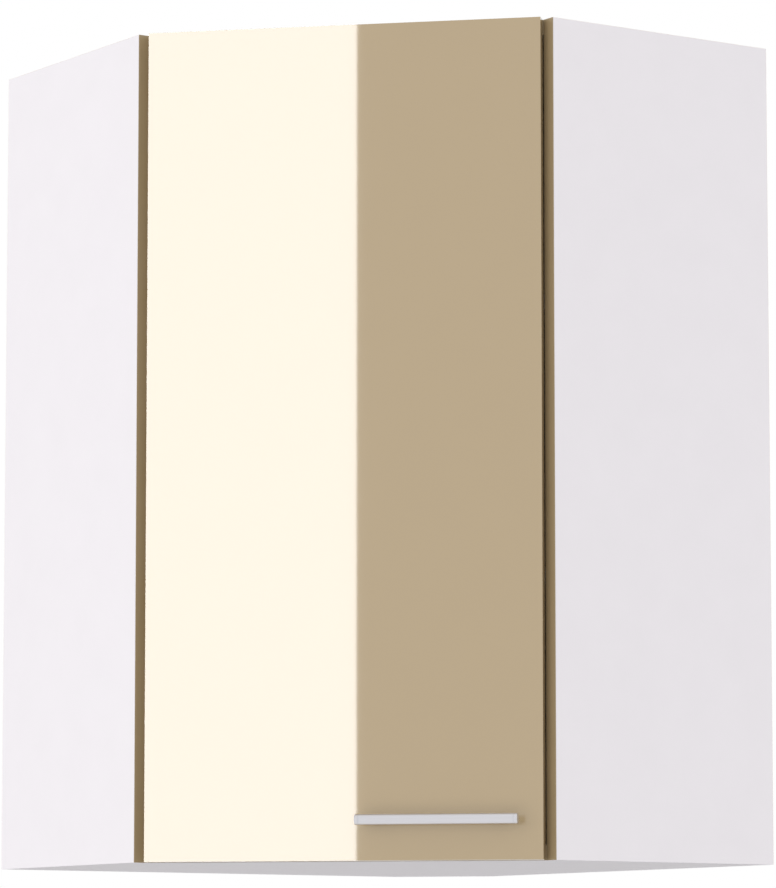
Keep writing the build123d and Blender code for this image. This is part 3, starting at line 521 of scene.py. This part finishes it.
door_gloss, tree, place = new_finish("tan_gloss_acrylic")
pigment = add_node(tree, "ShaderNodeTexNoise", {
    "Vector": place, "Scale": 1 / pigment_cloud, "Detail": 4.0})
tone = add_node(tree, "ShaderNodeMix", {
    "Factor": pigment.outputs["Fac"], "A": linear("AC9774"), "B": linear("AE9976"),
}, data_type="RGBA")
shader = add_node(tree, "ShaderNodeBsdfPrincipled", {
    "Base Color": tone.outputs["Result"], "Roughness": 0.02, "IOR": 1.5,
    "Coat Weight": 1.0, "Coat Roughness": 0.02, "Coat IOR": 1.6,
})
add_node(tree, "ShaderNodeOutputMaterial", {"Surface": shader.outputs[0]})
paint(door_gloss, "door_gloss_front", "door_edge_bands")

mirrors = bpy.data.collections.new("what_the_bright_panel_shows_on")
mirrors.objects.link(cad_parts["door_gloss_front"])
mirrors.objects.link(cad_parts["door_edge_bands"])
panel.light_linking.receiver_collection = mirrors

# Buffers: small cast pads of clear polyurethane, stuck inside the door on its opening side, where
# it meets the carcass. They look like slightly hazy glass.
haze_cloud = 2.0                        # mm
haze_low, haze_high = 0.12, 0.28        # roughness

clear_plastic, tree, place = new_finish("clear_polyurethane")
haze = add_node(tree, "ShaderNodeTexNoise", {
    "Vector": place, "Scale": 1 / haze_cloud, "Detail": 2.0})
roughness = add_node(tree, "ShaderNodeMapRange", {
    "Value": haze.outputs["Fac"], "To Min": haze_low, "To Max": haze_high})
shader = add_node(tree, "ShaderNodeBsdfPrincipled", {
    "Base Color": linear("F4F6F6"), "Roughness": roughness.outputs[0], "IOR": 1.5,
    "Transmission Weight": 0.9,
})
add_node(tree, "ShaderNodeOutputMaterial", {"Surface": shader.outputs[0]})
paint(clear_plastic, "door_buffers")


# Handle: a drawn steel tube with a pressed-in cap at each end, on two turned posts. Its satin
# brushing runs along the tube, so it shows fine lines and no sharp reflections. Sizes are in m.
handle_middle = Vector((0.10342, -0.0415, 0.0418))   # along the door, into it, up
handle_half = 0.085
tube_radius = 0.0055
cap_length = 0.004
seam_chamfer = 0.00022
cap_round = 0.0007
cap_shoulder = 0.3 * cap_round
post_radius = 0.004
post_spread = 0.064                     # from the handle's middle to each post
post_chamfer = 0.0004
post_in_tube = 0.0030                   # past the tube's surface
door_thickness = 0.017
door_middle = (0.1345, -0.1345, 0)      # of its inner face, in the cabinet's frame
door_turn = radians(45)
turning_steps = 64
weld = 1e-6
brush_length, brush_width = 40.0, 0.7   # mm; the real lines are finer, too fine to show
brush_roughness_low, brush_roughness_high = 0.30, 0.42
brush_relief, brush_relief_height = 0.15, 0.0001
on_door = Matrix.Translation(door_middle) @ Matrix.Rotation(door_turn, 4, "Z")

brushed, tree, place = new_finish("brushed_stainless_steel")
squared = add_node(tree, "ShaderNodeMapping", {
    "Vector": place, "Rotation": (0, 0, -door_turn)})
drawn_out = add_node(tree, "ShaderNodeMapping", {
    "Vector": squared.outputs[0],
    "Scale": (1 / brush_length, 1 / brush_width, 1 / brush_width)})
lines = add_node(tree, "ShaderNodeTexNoise", {
    "Vector": drawn_out.outputs[0], "Scale": 1.0, "Detail": 6.0})
tone = add_node(tree, "ShaderNodeMix", {
    "Factor": lines.outputs["Fac"], "A": linear("CFCED2"), "B": linear("DEDDE1"),
}, data_type="RGBA")
roughness = add_node(tree, "ShaderNodeMapRange", {
    "Value": lines.outputs["Fac"], "From Min": cloud_low, "From Max": cloud_high,
    "To Min": brush_roughness_low, "To Max": brush_roughness_high})
bump = add_node(tree, "ShaderNodeBump", {
    "Height": lines.outputs["Fac"], "Strength": brush_relief, "Distance": brush_relief_height})
shader = add_node(tree, "ShaderNodeBsdfPrincipled", {
    "Base Color": tone.outputs["Result"], "Metallic": 1.0,
    "Roughness": roughness.outputs[0], "Normal": bump.outputs[0],
})
add_node(tree, "ShaderNodeOutputMaterial", {"Surface": shader.outputs[0]})


def turned(bm, profile, way, place):
    """Turn a profile of (length, radius) points round the line through `place` along `way`."""
    side = Vector((0, 0, 1))
    points = [bm.verts.new(place + way * run + side * radius) for run, radius in profile]
    edges = [bm.edges.new(pair) for pair in zip(points, points[1:])]
    bmesh.ops.spin(
        bm, geom=points + edges, cent=place, axis=way, angle=2 * pi, steps=turning_steps,
        use_merge=True,
    )


def finish_handle(name, bm, *nodes):
    """Close the poles, put a part of the handle on the door and let it stand for CAD nodes."""
    bmesh.ops.remove_doubles(bm, verts=bm.verts, dist=weld)
    bmesh.ops.transform(bm, matrix=on_door, verts=bm.verts)
    piece = new_piece(name, bm, brushed)
    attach(piece, "door")
    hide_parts(*nodes)


tube_half = handle_half - cap_length
lengthwise = Vector((1, 0, 0))
bm = bmesh.new()
turned(bm, [
    (-tube_half, 0),
    (-tube_half, tube_radius - seam_chamfer),
    (-tube_half + seam_chamfer, tube_radius),
    (0, tube_radius),
    (tube_half - seam_chamfer, tube_radius),
    (tube_half, tube_radius - seam_chamfer),
    (tube_half, 0),
], lengthwise, handle_middle)
finish_handle("handle_tube", bm, "handle_bar")

bm = bmesh.new()
for side in (-1, 1):
    turned(bm, [
        (tube_half, 0),
        (tube_half, tube_radius - seam_chamfer),
        (tube_half + seam_chamfer, tube_radius),
        (handle_half - cap_round, tube_radius),
        (handle_half - cap_shoulder, tube_radius - cap_shoulder),
        (handle_half, tube_radius - cap_round),
        (handle_half, 0),
    ], side * lengthwise, handle_middle)
finish_handle("handle_caps", bm, "handle_end_caps")

bm = bmesh.new()
outwards = Vector((0, -1, 0))
post_length = -handle_middle.y - door_thickness - tube_radius + post_in_tube
for side in (-1, 1):
    foot = handle_middle + side * post_spread * lengthwise
    foot.y = -door_thickness
    turned(bm, [
        (0, 0),
        (0, post_radius - post_chamfer),
        (post_chamfer, post_radius),
        (post_length, post_radius),
        (post_length, 0),
    ], outwards, foot)
finish_handle("handle_feet", bm, "handle_posts")
